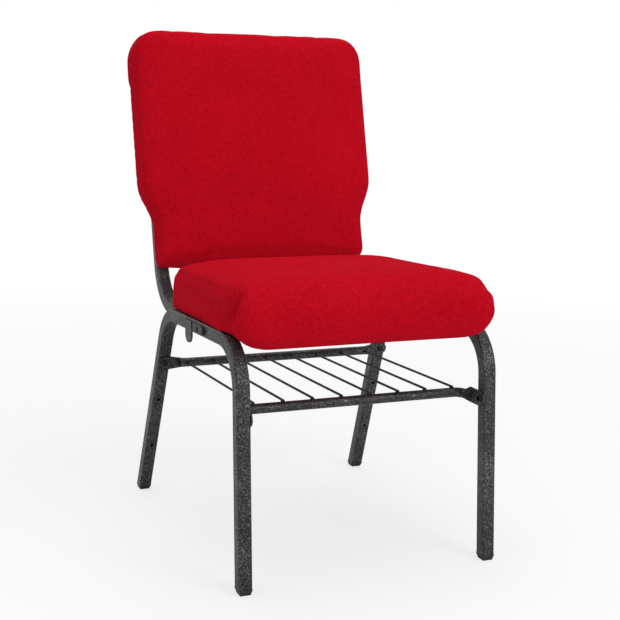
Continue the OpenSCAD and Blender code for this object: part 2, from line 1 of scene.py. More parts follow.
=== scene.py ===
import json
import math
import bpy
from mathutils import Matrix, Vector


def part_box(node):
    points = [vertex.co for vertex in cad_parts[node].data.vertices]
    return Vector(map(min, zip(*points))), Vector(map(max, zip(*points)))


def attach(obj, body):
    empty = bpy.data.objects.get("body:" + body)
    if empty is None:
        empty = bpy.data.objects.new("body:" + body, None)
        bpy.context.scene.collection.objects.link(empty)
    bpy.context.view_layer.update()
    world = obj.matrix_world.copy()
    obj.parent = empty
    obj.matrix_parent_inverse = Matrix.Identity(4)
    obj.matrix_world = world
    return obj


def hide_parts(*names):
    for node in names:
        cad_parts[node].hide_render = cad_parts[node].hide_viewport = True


bl_info = {
    "name": "Conference chair",
    "version": (1, 0, 0),
    "blender": (4, 5, 0),
    "location": "View3D > Sidebar > Chair",
    "description": "Upholstery, paint and fittings of a stacking conference chair",
    "category": "Object",
}

import bmesh
import bpy
from mathutils import Matrix, Vector

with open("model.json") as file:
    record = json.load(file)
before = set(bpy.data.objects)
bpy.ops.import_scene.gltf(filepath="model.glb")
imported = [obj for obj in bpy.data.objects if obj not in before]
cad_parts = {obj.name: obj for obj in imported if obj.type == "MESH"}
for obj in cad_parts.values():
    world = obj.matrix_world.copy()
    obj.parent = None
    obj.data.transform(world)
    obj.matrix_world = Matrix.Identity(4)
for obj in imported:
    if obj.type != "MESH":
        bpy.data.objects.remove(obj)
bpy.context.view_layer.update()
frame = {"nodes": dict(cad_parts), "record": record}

MM = 0.001
BODY = "root"
MERGE = 0.005 * MM
SIM_FRAMES = 20
WHITE = (1, 1, 1, 1)

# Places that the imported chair's solids share: y is counted from the front feet
FRONT_Y = -329.2 * MM
BACK_Y = FRONT_Y + 357 * MM
BACK_LEAN = math.radians(15.1)
BACK_T = 49 * MM
TUBE = 22 * MM
HOOD_LOW = 788 * MM

# Each node of fasteners: its head's thickness, its shank's radius and length,
# its recess's corners, and its finish
FASTENERS = {
    "rack_bolts": (3 * MM, 3 * MM, 6.9 * MM, 6, "black_steel"),
    "back_screws": (3 * MM, 3 * MM, 33 * MM, 6, "zinc_plate"),
    "seat_screws": (2.2 * MM, 2.2 * MM, 30 * MM, 4, "zinc_plate"),
    "bumper_screws": (1 * MM, 2.2 * MM, 8 * MM, 4, "black_steel"),
}

# Where the seat's sides and the front roll's ends begin and end, from the middle
SIDE_X = (160 * MM, 206 * MM)
ROLL_END_X = (170 * MM, 222 * MM)

# The crease behind the roll's ends: its lean, its width and the heights over which it fades
CREASE_LEAN = 0.62
CREASE_W = 12 * MM
CREASE_FADE = (48 * MM, 72 * MM)
BOARD_FADE = (12 * MM, 34 * MM)

# The gathers beside it
GATHER_AHEAD = 10 * MM
GATHER_W = 26 * MM
GATHER_LEAN = 0.5
GATHER_PITCH = 18 * MM

# The groove and the firm edge above it, which run along the sides' upper edges
GROOVE_H = 61 * MM
GROOVE_W = 5 * MM
EDGE_H = 71 * MM
EDGE_W = 6 * MM
EDGE_FADE = 45 * MM

# How far in front of the crease the roll's ends swell, and how far they are drawn back
BULGE_RISE = (4 * MM, 26 * MM)
EASE_RISE = (22 * MM, 70 * MM)

# The seat board's slope, and the cloth's thickness behind the back board
SEAT_SLOPE = math.radians(2.4)
CLOTH_T = 0.8 * MM

# Stitches of weld along an upright's foot, and how far a bead stays from a tube's rounded edges
FOOT_STITCHES = ((3 * MM, 28 * MM), (48 * MM, 72 * MM))
EDGE_ROOM = 4 * MM

# The hem: its room at the frame, its lap beyond the board and its cloth's thickness
HEM_GAP = 0.4 * MM
HEM_LAP = 3 * MM
HEM_T = 0.5 * MM

# A staple: its wire's radius, its crown and its legs
STAPLE_R = 0.45 * MM
STAPLE_W = 11 * MM
STAPLE_LEG = 2.8 * MM

# A button head in four steps up: each one's share of the thickness, and how much it draws its rim in
HEAD_STEPS = ((0.45, 1.0), (0.33, 0.92), (0.22, 0.78), (0.0, 0.74))


def colour(name, description, default):
    """A colour property in linear values."""
    return bpy.props.FloatVectorProperty(
        name=name, description=description, default=default, subtype="COLOR",
        size=3, min=0, max=1)


def length(name, description, default, low=0.0, high=0.1):
    """A length property in metres."""
    return bpy.props.FloatProperty(
        name=name, description=description, default=default, min=low, max=high,
        unit="LENGTH", subtype="DISTANCE", precision=4)


def share(name, description, default, high=1.0):
    """A plain number from zero up to high."""
    return bpy.props.FloatProperty(
        name=name, description=description, default=default, min=0, max=high)


class ChairUpholstery(bpy.types.PropertyGroup):
    """Colours and sizes of the cushions and their cover."""

    red: colour("Red", "Main colour of the cover", (0.560, 0.0045, 0.016))
    deep_red: colour("Deep red", "Darker yarn of the cover", (0.390, 0.0025, 0.009))
    yarn: length("Yarn", "Pitch of the weave", 1.1 * MM, 0.4 * MM, 4 * MM)
    voxel: length("Mesh size", "Edge of the cushion mesh's squares", 4.5 * MM, 3 * MM, 10 * MM)
    seat_pressure: share(
        "Seat pressure", "Pressure inside the seat while it is inflated", 4.0, 20.0)
    back_pressure: share(
        "Back pressure", "Pressure inside the back while it is inflated", 3.0, 20.0)
    seat_swell: length(
        "Seat swell", "Most that the seat's cover may move out", 3 * MM, 0, 10 * MM)
    back_swell: length(
        "Back swell", "Most that the back's cover may move out", 2.5 * MM, 0, 10 * MM)
    valley: length(
        "Valley", "Depth of the crease behind the front roll's ends", 6 * MM, 0, 10 * MM)
    valley_y: length(
        "Valley place", "Place of that crease at the rail's top", -245 * MM, -0.3, 0.0)
    gather: length("Gather", "Depth of the gathers beside that crease", 3.2 * MM, 0, 4 * MM)
    edge_groove: length(
        "Edge groove", "Depth of the groove below the sides' upper edges", 2.2 * MM, 0, 4 * MM)
    board_room: length(
        "Room beside the board", "Most that a crease may reach in beside the board", 3 * MM, 0, 9 * MM)
    roll_bulge: length(
        "Roll bulge", "How far the front roll's ends stand out beyond the sides", 1.5 * MM, 0, 9 * MM)
    roll_ease: length(
        "Roll ease", "How far the front corners of the roll are drawn back", 8 * MM, 0, 20 * MM)
    board_wrap: length(
        "Board wrap", "Growth of the back board's edges to the cover round them", 4.5 * MM, 0, 8 * MM)
    hem: length(
        "Hem", "Width of the cover that is turned in under the seat", 26 * MM, 10 * MM, 50 * MM)
    staple_pitch: length(
        "Staple pitch", "Distance between the staples of the hem", 34 * MM, 15 * MM, 80 * MM)


class ChairFrame(bpy.types.PropertyGroup):
    """Colours and sizes of the paint, plastic and fasteners."""

    paint: colour("Paint", "Dark ground of the powder coat", (0.008, 0.008, 0.0085))
    vein: colour("Vein", "Silver veins of the powder coat", (0.200, 0.200, 0.203))
    vein_size: length("Vein size", "Size of the powder coat's veins", 2.3 * MM, 0.5 * MM, 6 * MM)
    plastic: colour("Plastic", "Foot caps and bumpers", (0.012, 0.012, 0.013))
    wood: colour("Wood", "Plywood of the boards", (0.520, 0.340, 0.180))
    zinc: colour("Zinc", "Plated screws", (0.560, 0.570, 0.590))
    bead: length("Weld bead", "Radius of a weld bead", 1.5 * MM, 0.5 * MM, 4 * MM)


class ChairStage(bpy.types.PropertyGroup):
    """Camera, floor and lamps."""

    lens: bpy.props.FloatProperty(
        name="Lens", description="Focal length in mm", default=70.96, min=20, max=200)
    yaw: bpy.props.FloatProperty(
        name="Yaw", description="Camera's turn to the right",
        default=math.radians(23.23), subtype="ANGLE")
    pitch: bpy.props.FloatProperty(
        name="Pitch", description="Camera's tilt down", default=math.radians(10.29), subtype="ANGLE")
    roll: bpy.props.FloatProperty(
        name="Roll", description="Camera's roll", default=math.radians(1.41), subtype="ANGLE")
    place: bpy.props.FloatVectorProperty(
        name="Place", description="Camera's place",
        default=(-0.8151, -1.9534, 0.7545), size=3, subtype="XYZ")
    key: share("Key", "Power of the main lamp in watts", 30.0, 500.0)
    fill: share("Fill", "Power of the side lamp in watts", 4.0, 500.0)
    top: share("Top", "Power of the overhead lamp in watts", 32.0, 500.0)
    sky: share("Sky", "Strength of the even light", 0.52, 3.0)
    floor: colour("Floor", "Colour of the floor", (0.90, 0.90, 0.90))


def upholstery():
    """The upholstery's settings."""
    return bpy.context.scene.chair_upholstery


def painted():
    """The frame's settings."""
    return bpy.context.scene.chair_frame


def add(tree, kind, inputs=None, **values):
    """Adds a node. Its inputs take sockets or plain values, by name or number."""
    item = tree.nodes.new(kind)
    for key, value in values.items():
        setattr(item, key, value)
    for key, value in (inputs or {}).items():
        if isinstance(value, bpy.types.NodeSocket):
            tree.links.new(value, item.inputs[key])
        else:
            item.inputs[key].default_value = value
    return item


def rgba(value):
    """A colour with full alpha."""
    return (value[0], value[1], value[2], 1.0)


def new_material(name, **shader_values):
    """A material with one Principled shader: it, its tree, the shader and the object coordinates."""
    material = bpy.data.materials.new(name)
    material.use_nodes = True
    tree = material.node_tree
    tree.nodes.clear()
    shader = add(tree, "ShaderNodeBsdfPrincipled", shader_values)
    add(tree, "ShaderNodeOutputMaterial", {"Surface": shader.outputs[0]})
    place = add(tree, "ShaderNodeTexCoord").outputs["Object"]
    return material, tree, shader, place


def math_node(tree, operation, a, b=0.0):
    """The result of a Math node."""
    return add(tree, "ShaderNodeMath", {0: a, 1: b}, operation=operation).outputs[0]


def mixed(tree, *parts):
    """The sum of several values, each times its weight."""
    total = None
    for value, weight in parts:
        term = math_node(tree, "MULTIPLY", value, weight)
        total = term if total is None else math_node(tree, "ADD", total, term)
    return total


def noise(tree, place, size, detail=3.0, roughness=0.5, distortion=0.0):
    """A noise texture whose features are about as large as size."""
    return add(tree, "ShaderNodeTexNoise", {
        "Vector": place, "Scale": 1 / size, "Detail": detail,
        "Roughness": roughness, "Distortion": distortion}).outputs["Fac"]


def ramp(tree, fac, low, high, first, last):
    """Blends two colours between two levels of fac."""
    item = add(tree, "ShaderNodeValToRGB", {"Fac": fac})
    item.color_ramp.elements[0].position = low
    item.color_ramp.elements[0].color = rgba(first)
    item.color_ramp.elements[1].position = high
    item.color_ramp.elements[1].color = rgba(last)
    return item.outputs["Color"]


def levels(tree, fac, low, high, first=0.0, last=1.0):
    """Maps fac from one range to another, and clamps it."""
    return add(tree, "ShaderNodeMapRange", {
        "Value": fac, "From Min": low, "From Max": high, "To Min": first, "To Max": last}).outputs["Result"]


def bumped(tree, shader, height, strength, distance):
    """Gives the shader a bump."""
    bump = add(tree, "ShaderNodeBump", {"Height": height, "Strength": strength, "Distance": distance})
    tree.links.new(bump.outputs["Normal"], shader.inputs["Normal"])


def wave(tree, value, pitch):
    """A sine of a coordinate, from -1 to 1, with one period in each pitch."""
    return math_node(tree, "SINE", math_node(tree, "MULTIPLY", value, 2 * math.pi / pitch))


def woven_cover():
    """Red upholstery: a plain weave whose yarns are dyed unevenly, with a soft nap."""
    kit = upholstery()
    material, tree, shader, place = new_material("woven_cover", **{
        "Roughness": 1.0, "Sheen Weight": 0.10, "Sheen Roughness": 0.5,
        "Sheen Tint": (1.0, 0.04, 0.10, 1.0), "Specular IOR Level": 0.015})
    axes = add(tree, "ShaderNodeSeparateXYZ", {"Vector": place})
    across = wave(tree, axes.outputs["X"], kit.yarn)
    down = wave(tree, math_node(tree, "ADD", axes.outputs["Y"], axes.outputs["Z"]), kit.yarn)
    slope = math_node(tree, "SUBTRACT", axes.outputs["Y"], axes.outputs["Z"])
    slant = wave(tree, slope, kit.yarn)
    weave = math_node(tree, "MULTIPLY", across, math_node(tree, "ADD", down, slant))
    fleck = noise(tree, place, 2.2 * kit.yarn, 2.0, 0.7)
    blotch = noise(tree, place, 11 * kit.yarn, 4.0, 0.65)
    cloud = noise(tree, place, 90 * kit.yarn, 3.0, 0.5)
    dye = mixed(tree, (fleck, 0.72), (blotch, 0.15), (cloud, 0.13), (weave, 0.02))
    base = ramp(tree, dye, 0.40, 0.58, kit.deep_red, kit.red)
    tree.links.new(base, shader.inputs["Base Color"])
    height = math_node(tree, "ADD", math_node(tree, "MULTIPLY", weave, 0.35), fleck)
    bumped(tree, shader, height, 0.45, 0.35 * MM)
    return material


def silver_vein_paint():
    """Dark powder coat that breaks into fine silver veins, bumpy and part glossy."""
    kit = painted()
    material, tree, shader, place = new_material("silver_vein_paint", **{"Specular IOR Level": 0.3})
    vein = noise(tree, place, kit.vein_size, 4.0, 0.62, 1.2)
    grain = noise(tree, place, 0.35 * kit.vein_size, 2.0, 0.6)
    cloud = noise(tree, place, 30 * kit.vein_size, 2.0)
    off = math_node(tree, "SUBTRACT", cloud, 0.5)
    level = mixed(tree, (vein, 0.75), (grain, 0.25), (off, 0.10))
    tree.links.new(ramp(tree, level, 0.51, 0.60, kit.paint, kit.vein), shader.inputs["Base Color"])
    tree.links.new(levels(tree, level, 0.51, 0.60, 0.05, 0.85), shader.inputs["Metallic"])
    tree.links.new(levels(tree, level, 0.51, 0.60, 0.42, 0.22), shader.inputs["Roughness"])
    bumped(tree, shader, level, 1.0, 0.8 * MM)
    return material


def black_powder_coat():
    """The rack wires' black powder coat, with a slight orange peel."""
    material, tree, shader, place = new_material("black_powder_coat", **{"Specular IOR Level": 0.2})
    peel = noise(tree, place, 1.2 * MM, 2.0, 0.5)
    ground = painted().paint
    worn = [1.8 * c for c in ground]
    tree.links.new(ramp(tree, peel, 0.35, 0.7, ground, worn), shader.inputs["Base Color"])
    tree.links.new(levels(tree, peel, 0.35, 0.7, 0.45, 0.60), shader.inputs["Roughness"])
    bumped(tree, shader, peel, 0.4, 0.15 * MM)
    return material


def moulded_plastic():
    """Black moulded plastic with a fine spark-eroded grain and a few dull scuffs."""
    material, tree, shader, place = new_material("moulded_plastic", **{"Specular IOR Level": 0.45})
    grain = noise(tree, place, 0.5 * MM, 2.0)
    scuff = noise(tree, place, 9 * MM, 4.0, 0.7, 0.8)
    ground = painted().plastic
    worn = [3.0 * c for c in ground]
    tree.links.new(ramp(tree, scuff, 0.50, 0.75, ground, worn), shader.inputs["Base Color"])
    tree.links.new(levels(tree, scuff, 0.4, 0.7, 0.42, 0.62), shader.inputs["Roughness"])
    bumped(tree, shader, grain, 0.25, 0.1 * MM)
    return material


def birch_ply():
    """Plywood: long grain on the faces and fine plies along the edges."""
    material, tree, shader, place = new_material("birch_ply", **{"Roughness": 0.62})
    stretched = add(tree, "ShaderNodeMapping", {"Vector": place, "Scale": (1.0, 0.12, 1.0)}).outputs[0]
    grain = noise(tree, stretched, 4 * MM, 5.0, 0.6, 0.6)
    fine = noise(tree, stretched, 0.8 * MM, 2.0, 0.6)
    level = mixed(tree, (grain, 0.7), (fine, 0.3))
    wood = painted().wood
    tree.links.new(ramp(tree, level, 0.3, 0.7, [0.72 * c for c in wood], wood), shader.inputs["Base Color"])
    bumped(tree, shader, level, 0.3, 0.2 * MM)
    return material


def plated_steel(name, base, rough_low, rough_high):
    """Plated or blackened steel with fine turning marks."""
    material, tree, shader, place = new_material(name, **{"Metallic": 0.95})
    mark = noise(tree, place, 0.6 * MM, 3.0, 0.6)
    tree.links.new(ramp(tree, mark, 0.3, 0.7, [0.8 * c for c in base], base), shader.inputs["Base Color"])
    tree.links.new(levels(tree, mark, 0.3, 0.7, rough_low, rough_high), shader.inputs["Roughness"])
    bumped(tree, shader, mark, 0.15, 0.05 * MM)
    return material


def finish_of(name):
    """A material by its name, made when it is first asked for."""
    if name in bpy.data.materials:
        return bpy.data.materials[name]
    makers = {
        "woven_cover": woven_cover,
        "silver_vein_paint": silver_vein_paint,
        "black_powder_coat": black_powder_coat,
        "moulded_plastic": moulded_plastic,
        "birch_ply": birch_ply,
        "zinc_plate": lambda: plated_steel("zinc_plate", painted().zinc, 0.28, 0.42),
        "black_steel": lambda: plated_steel(
            "black_steel", [0.06 * c for c in painted().zinc], 0.35, 0.5),
    }
    return makers[name]()


def paint_object(piece, name):
    """Gives a piece or a CAD node one material."""
    piece.data.materials.clear()
    piece.data.materials.append(finish_of(name))


def settle(piece, material, replaced=(), smooth=True):
    """Finishes a new piece: its material, shading and body, and hides the nodes that it stands for."""
    paint_object(piece, material)
    if smooth:
        piece.data.shade_smooth()
    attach(piece, BODY)
    if replaced:
        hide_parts(*replaced)


def piece_from(name, bm):
    """An object at the origin with the bmesh's shape."""
    mesh = bpy.data.meshes.new(name)
    bm.to_mesh(mesh)
    bm.free()
    piece = bpy.data.objects.new(name, mesh)
    bpy.context.scene.collection.objects.link(piece)
    return piece


def merged_nodes(*nodes):
    """A bmesh of copies of CAD nodes, with their loose triangles joined."""
    bm = bmesh.new()
    for node in nodes:
        bm.from_mesh(frame["nodes"][node].data)
    bmesh.ops.remove_doubles(bm, verts=bm.verts, dist=MERGE)
    return bm


def soft_copy(name, bm, voxel, rounds, held):
    """A cushion's even mesh over a bmesh: rounds of smoothing take off its facets."""
    piece = piece_from(name, bm)
    piece.data.remesh_voxel_size = voxel
    bpy.context.view_layer.objects.active = piece
    bpy.ops.object.voxel_remesh()
    bm = bmesh.new()
    bm.from_mesh(piece.data)
    free = [v for v in bm.verts if not held(v.co)]
    for _ in range(rounds):
        bmesh.ops.smooth_vert(
            bm, verts=free, factor=0.5, use_axis_x=True, use_axis_y=True, use_axis_z=True)
    bm.to_mesh(piece.data)
    bm.free()
    return piece


def inflate(piece, pressure, swell, held):
    """Blows the cover up a little with a cloth simulation, and caps how far each point moves."""
    fixed = [v.index for v in piece.data.vertices if held(v.co)]
    group = piece.vertex_groups.new(name="held")
    group.add(fixed, 1.0, "REPLACE")
    cloth = piece.modifiers.new("Cloth", "CLOTH")
    cloth.settings.quality = 4
    cloth.settings.mass = 0.3
    cloth.settings.tension_stiffness = 12
    cloth.settings.compression_stiffness = 12
    cloth.settings.shear_stiffness = 6
    cloth.settings.bending_stiffness = 0.6
    cloth.settings.use_pressure = True
    cloth.settings.uniform_pressure_force = pressure
    cloth.settings.vertex_group_mass = group.name
    cloth.settings.effector_weights.gravity = 0
    scene = bpy.context.scene
    for number in range(1, SIM_FRAMES + 1):
        scene.frame_set(number)
    shaped = piece.evaluated_get(bpy.context.evaluated_depsgraph_get()).data
    moved = [v.co.copy() for v in shaped.vertices]
    piece.modifiers.remove(cloth)
    scene.frame_set(1)
    for vertex, end in zip(piece.data.vertices, moved):
        step = end - vertex.co
        if step.length > swell:
            step.length = swell
        vertex.co += step
    piece.vertex_groups.clear()


def subdivided(piece):
    """One even level of subdivision."""
    subdivision = piece.modifiers.new("Subdivision", "SUBSURF")
    subdivision.levels = 1
    subdivision.render_levels = 1


def rail_top():
    """Gives the height of the rails' top faces at any y, from the two cross members flush with them."""
    front_low, front_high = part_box("front_cross_member")
    rear_low, rear_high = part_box("rear_cross_member")
    front_y = (front_low.y + front_high.y) / 2
    rear_y = (rear_low.y + rear_high.y) / 2
    slope = (rear_high.z - front_high.z) / (rear_y - front_y)
    return lambda y: front_high.z + (y - front_y) * slope


def back_place(point):
    """A point in the back's own frame: across, behind its front plane and up along it."""
    y = point.y - BACK_Y
    depth = y * math.cos(BACK_LEAN) - point.z * math.sin(BACK_LEAN)
    height = y * math.sin(BACK_LEAN) + point.z * math.cos(BACK_LEAN)
    return Vector((point.x, depth, height))


def ramp_between(value, low, high):
    """A smooth rise from 0 at low to 1 at high."""
    part = min(1.0, max(0.0, (value - low) / (high - low)))
    return part * part * (3 - 2 * part)


def bell(distance, width):
    """A bell curve: 1 where the distance is zero."""
    part = distance / width
    return math.exp(-part * part)


def creased(seat, top):
    """Presses in the creases and gathers behind the roll's ends, and firms the sides' upper edges."""
    kit = upholstery()
    for vertex in seat.data.vertices:
        x, y, z = vertex.co
        side = 1 if x > 0 else -1
        above = z - top(y)
        outer = ramp_between(abs(x), *SIDE_X)
        if outer == 0:
            continue
        valley = kit.valley_y - CREASE_LEAN * above
        low_part = 1 - ramp_between(above, *CREASE_FADE)
        press = kit.valley * bell(y - valley, CREASE_W) * low_part
        fold = math.sin(2 * math.pi * (y + GATHER_LEAN * above) / GATHER_PITCH)
        gather = kit.gather * (0.5 + 0.5 * fold)
        press += gather * bell(y - valley + GATHER_AHEAD, GATHER_W) * low_part
        along = ramp_between(y, valley, valley + EDGE_FADE)
        press += kit.edge_groove * bell(above - GROOVE_H, GROOVE_W) * along
        press = min(press, kit.board_room + kit.valley * ramp_between(above, *BOARD_FADE))
        press -= kit.edge_groove * bell(above - EDGE_H, EDGE_W) * along
        end = ramp_between(abs(x), *ROLL_END_X)
        bulge = kit.roll_bulge * end * ramp_between(valley - y, *BULGE_RISE)
        vertex.co.x += side * (bulge - outer * press)
        vertex.co.y += kit.roll_ease * end * end * ramp_between(valley - y, *EASE_RISE)


def from_back(across, depth, height):
    """A point of the back's own frame, in the chair's."""
    y = depth * math.cos(BACK_LEAN) + height * math.sin(BACK_LEAN)
    z = height * math.cos(BACK_LEAN) - depth * math.sin(BACK_LEAN)
    return Vector((across, BACK_Y + y, z))


class CHAIR_OT_seat(bpy.types.Operator):
    """Make the seat's padded cover"""

    bl_idname = "chair.seat"
    bl_label = "Seat cover"

    def execute(self, context):
        kit = upholstery()
        top = rail_top()
        board_low, board_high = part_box("seat_board")
        board_t = board_high.z - board_low.z - (board_high.y - board_low.y) * math.sin(SEAT_SLOPE)

        def held(point):
            above = point.z - top(point.y)
            behind_nose = point.y > board_low.y
            on_board = abs(point.x) < board_high.x and behind_nose and point.y < board_high.y
            return (on_board and above < board_t + 2 * MM) or (behind_nose and above < 2 * MM)

        seat = soft_copy("seat_cover", merged_nodes("seat_cushion"), kit.voxel, 5, held)
        inflate(seat, kit.seat_pressure, kit.seat_swell, held)
        creased(seat, top)
        subdivided(seat)
        settle(seat, "woven_cover", ["seat_cushion"])
        return {"FINISHED"}


class CHAIR_OT_back(bpy.types.Operator):
    """Make the back's padded front cover, which wraps round its board"""

    bl_idname = "chair.back"
    bl_label = "Back cover"

    def execute(self, context):
        kit = upholstery()

        def held(point):
            place = back_place(point)
            return BACK_T - 4 * MM < place.y < BACK_T + 3 * MM and place.z < HOOD_LOW - 3 * MM

        bm = merged_nodes("back_cushion", "back_hood")
        self.wrap_board(bm, kit.board_wrap)
        back = soft_copy("back_cover", bm, kit.voxel, 6, held)
        inflate(back, kit.back_pressure, kit.back_swell, held)
        self.flatten_rear(back)
        subdivided(back)
        settle(back, "woven_cover", ["back_cushion", "back_hood"])
        return {"FINISHED"}

    def wrap_board(self, bm, wrap):
        """Adds the board, grown by the cover that wraps it, so that it fills the space up to the hood."""
        board = merged_nodes("back_board")
        middle = (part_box("back_board")[0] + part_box("back_board")[1]) / 2
        core = back_place(middle)
        for vertex in board.verts:
            place = back_place(vertex.co)
            off = place - core
            off.x += math.copysign(wrap, off.x)
            off.y += math.copysign(0.2 * wrap, off.y)
            off.z += math.copysign(wrap, off.z) if abs(off.z) > 150 * MM else 0
            vertex.co = from_back(*(core + off))
        mesh = bpy.data.meshes.new("wrapped_board")
        board.to_mesh(mesh)
        board.free()
        bm.from_mesh(mesh)
        bpy.data.meshes.remove(mesh)

    def flatten_rear(self, back):
        """Lays the cover's rear flat, a cloth's thickness behind the board."""
        rear = BACK_T + CLOTH_T
        for vertex in back.data.vertices:
            place = back_place(vertex.co)
            if place.z < HOOD_LOW - 6 * MM and place.y > BACK_T - 3.5 * MM:
                vertex.co = from_back(place.x, rear, place.z)


class CHAIR_OT_rear_panel(bpy.types.Operator):
    """Make the flat panel that covers the back's rear between the uprights"""

    bl_idname = "chair.rear_panel"
    bl_label = "Rear panel"

    def execute(self, context):
        kit = upholstery()

        def held(point):
            return back_place(point).y < BACK_T + 4 * MM

        bm = merged_nodes("back_rear_panel")
        panel = soft_copy("rear_panel_cover", bm, 0.5 * kit.voxel, 3, held)
        settle(panel, "woven_cover", ["back_rear_panel"])
        return {"FINISHED"}


def ripples(bm, start, end, radius):
    """A weld bead: overlapping ripples along a straight seam."""
    run = end - start
    count = max(1, round(run.length / (1.3 * radius)))
    turn = run.to_track_quat("X", "Z").to_matrix().to_4x4()
    for i in range(count + 1):
        size = radius * (1 + 0.12 * math.sin(2.4 * i))
        grown = Matrix.Diagonal((0.8 * size, size, size, 1))
        place = Matrix.Translation(start + run * (i / count))
        bmesh.ops.create_uvsphere(
            bm, u_segments=8, v_segments=5, radius=1, matrix=place @ turn @ grown)


class CHAIR_OT_welds(bpy.types.Operator):
    """Lay the weld beads of the frame, the rack wires and the row-linking fittings"""

    bl_idname = "chair.welds"
    bl_label = "Weld beads"

    def execute(self, context):
        bead = painted().bead
        top = rail_top()
        inner = -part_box("left_seat_frame")[1].x
        bm = bmesh.new()
        for side in (-1, 1):
            self.foot_beads(bm, side * inner, top, bead)
            for node in ("front_cross_member", "rear_cross_member"):
                self.end_beads(bm, node, side * (inner - 0.3 * bead), bead)
        self.link_beads(bm, "ganging_tongue", -1, top, bead)
        self.link_beads(bm, "ganging_loop", 1, top, bead)
        settle(piece_from("frame_welds", bm), "silver_vein_paint")
        bm = bmesh.new()
        for number in range(1, 9):
            self.wire_beads(bm, f"rack_wire_{number}", 0.8 * bead)
        settle(piece_from("wire_welds", bm), "black_powder_coat")
        return {"FINISHED"}

    def foot_beads(self, bm, x, top, bead):
        """Two stitches under each upright's foot, and a seam up its front end."""
        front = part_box("left_upright")[0].y
        for stitch in FOOT_STITCHES:
            ends = [Vector((x, front + d, top(front + d) - TUBE + 0.7 * bead)) for d in stitch]
            ripples(bm, *ends, bead)
        start = Vector((x, front, top(front) - EDGE_ROOM))
        end = Vector((x, front, top(front) - TUBE + EDGE_ROOM))
        ripples(bm, start, end, bead)

    def end_beads(self, bm, node, x, bead):
        """A bead round the three free sides of a cross member's end."""
        low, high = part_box(node)
        inset = 0.4 * MM
        front, rear, under = low.y + inset, high.y - inset, low.z + inset
        for y in (front, rear):
            ripples(bm, Vector((x, y, high.z - 3 * MM)), Vector((x, y, under + bead)), bead)
        ripples(bm, Vector((x, front + bead, under)), Vector((x, rear - bead, under)), bead)

    def link_beads(self, bm, node, side, top, bead):
        """Beads down the two edges of a row-linking fitting, on its rail."""
        low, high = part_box(node)
        x = -low.x - 3 * MM if side < 0 else low.x
        for y in (low.y, high.y):
            above = min(high.z, top(y) - EDGE_ROOM)
            under = max(low.z, top(y) - TUBE + EDGE_ROOM)
            ripples(bm, Vector((side * x, y, above)), Vector((side * x, y, under)), 0.8 * bead)

    def wire_beads(self, bm, node, bead):
        """Two beads under a rack wire's front end, and a ring round its rear end."""
        low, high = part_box(node)
        x = (low.x + high.x) / 2
        radius = (high.x - low.x) / 2
        for side in (-1, 1):
            start = Vector((x + side * 0.9 * radius, low.y + 0.5 * MM, high.z - 1.85 * radius))
            ripples(bm, start, start + Vector((0, 4 * MM, -0.3 * MM)), bead)
        for step in range(6):
            angle = step * math.pi / 3
            ring = Vector((math.cos(angle), 0, math.sin(angle))) * radius
            place = Vector((x, high.y - 1.2 * MM, low.z + radius)) + ring
            ripples(bm, place, place + Vector((0, 0.3 * MM, 0)), bead)


def head_faces(node):
    """The front face of each fastener in a CAD node: its middle, outward direction and radius."""
    bm = merged_nodes(node)
    bmesh.ops.dissolve_limit(bm, angle_limit=math.radians(1), verts=bm.verts, edges=bm.edges)
    widest = max(face.calc_area() for face in bm.faces)
    fronts = [face for face in bm.faces if face.calc_area() > 0.9 * widest]
    found = [
        (face.calc_center_median(), face.normal.copy(), math.sqrt(face.calc_area() / math.pi))
        for face in fronts]
    bm.free()
    return found


def raised(bm, face, height, factor):
    """Extrudes a face up by a height, scales its rim and returns the new face."""
    made = bmesh.ops.extrude_face_region(bm, geom=[face])["geom"]
    rim = [item for item in made if isinstance(item, bmesh.types.BMVert)]
    bmesh.ops.translate(bm, verts=rim, vec=(0, 0, height))
    bmesh.ops.scale(bm, verts=rim, vec=(factor, factor, 1))
    return next(item for item in made if isinstance(item, bmesh.types.BMFace))


def fastener(bm, middle, outward, radius, thickness, shank_r, shank_l, corners):
    """A button head with a driven recess on a plain shank: its front is at middle."""
    one = bmesh.new()
    bmesh.ops.create_circle(one, cap_ends=True, segments=24, radius=radius)
    one.faces.ensure_lookup_table()
    face = one.faces[0]
    for rise, factor in HEAD_STEPS:
        face = raised(one, face, rise * thickness, factor)
    part = 2 * math.pi / corners
    reach = 0.42 * radius
    for vertex in face.verts:
        angle = math.atan2(vertex.co.y, vertex.co.x)
        off = (angle + math.pi) % part - part / 2
        across = reach * math.cos(part / 2) / math.cos(off)
        vertex.co.x = across * math.cos(angle)
        vertex.co.y = across * math.sin(angle)
    raised(one, face, -0.6 * thickness, 0.94)
    shank = Matrix.Translation((0, 0, -shank_l / 2))
    bmesh.ops.create_cone(
        one, cap_ends=True, segments=16, radius1=shank_r, radius2=shank_r,
        depth=shank_l, matrix=shank)
    bmesh.ops.recalc_face_normals(one, faces=one.faces)
    bmesh.ops.translate(one, verts=one.verts, vec=(0, 0, -thickness))
    turn = outward.to_track_quat("Z", "Y").to_matrix().to_4x4()
    bmesh.ops.transform(one, matrix=Matrix.Translation(middle) @ turn, verts=one.verts)
    mesh = bpy.data.meshes.new("fastener")
    one.to_mesh(mesh)
    one.free()
    bm.from_mesh(mesh)
    bpy.data.meshes.remove(mesh)


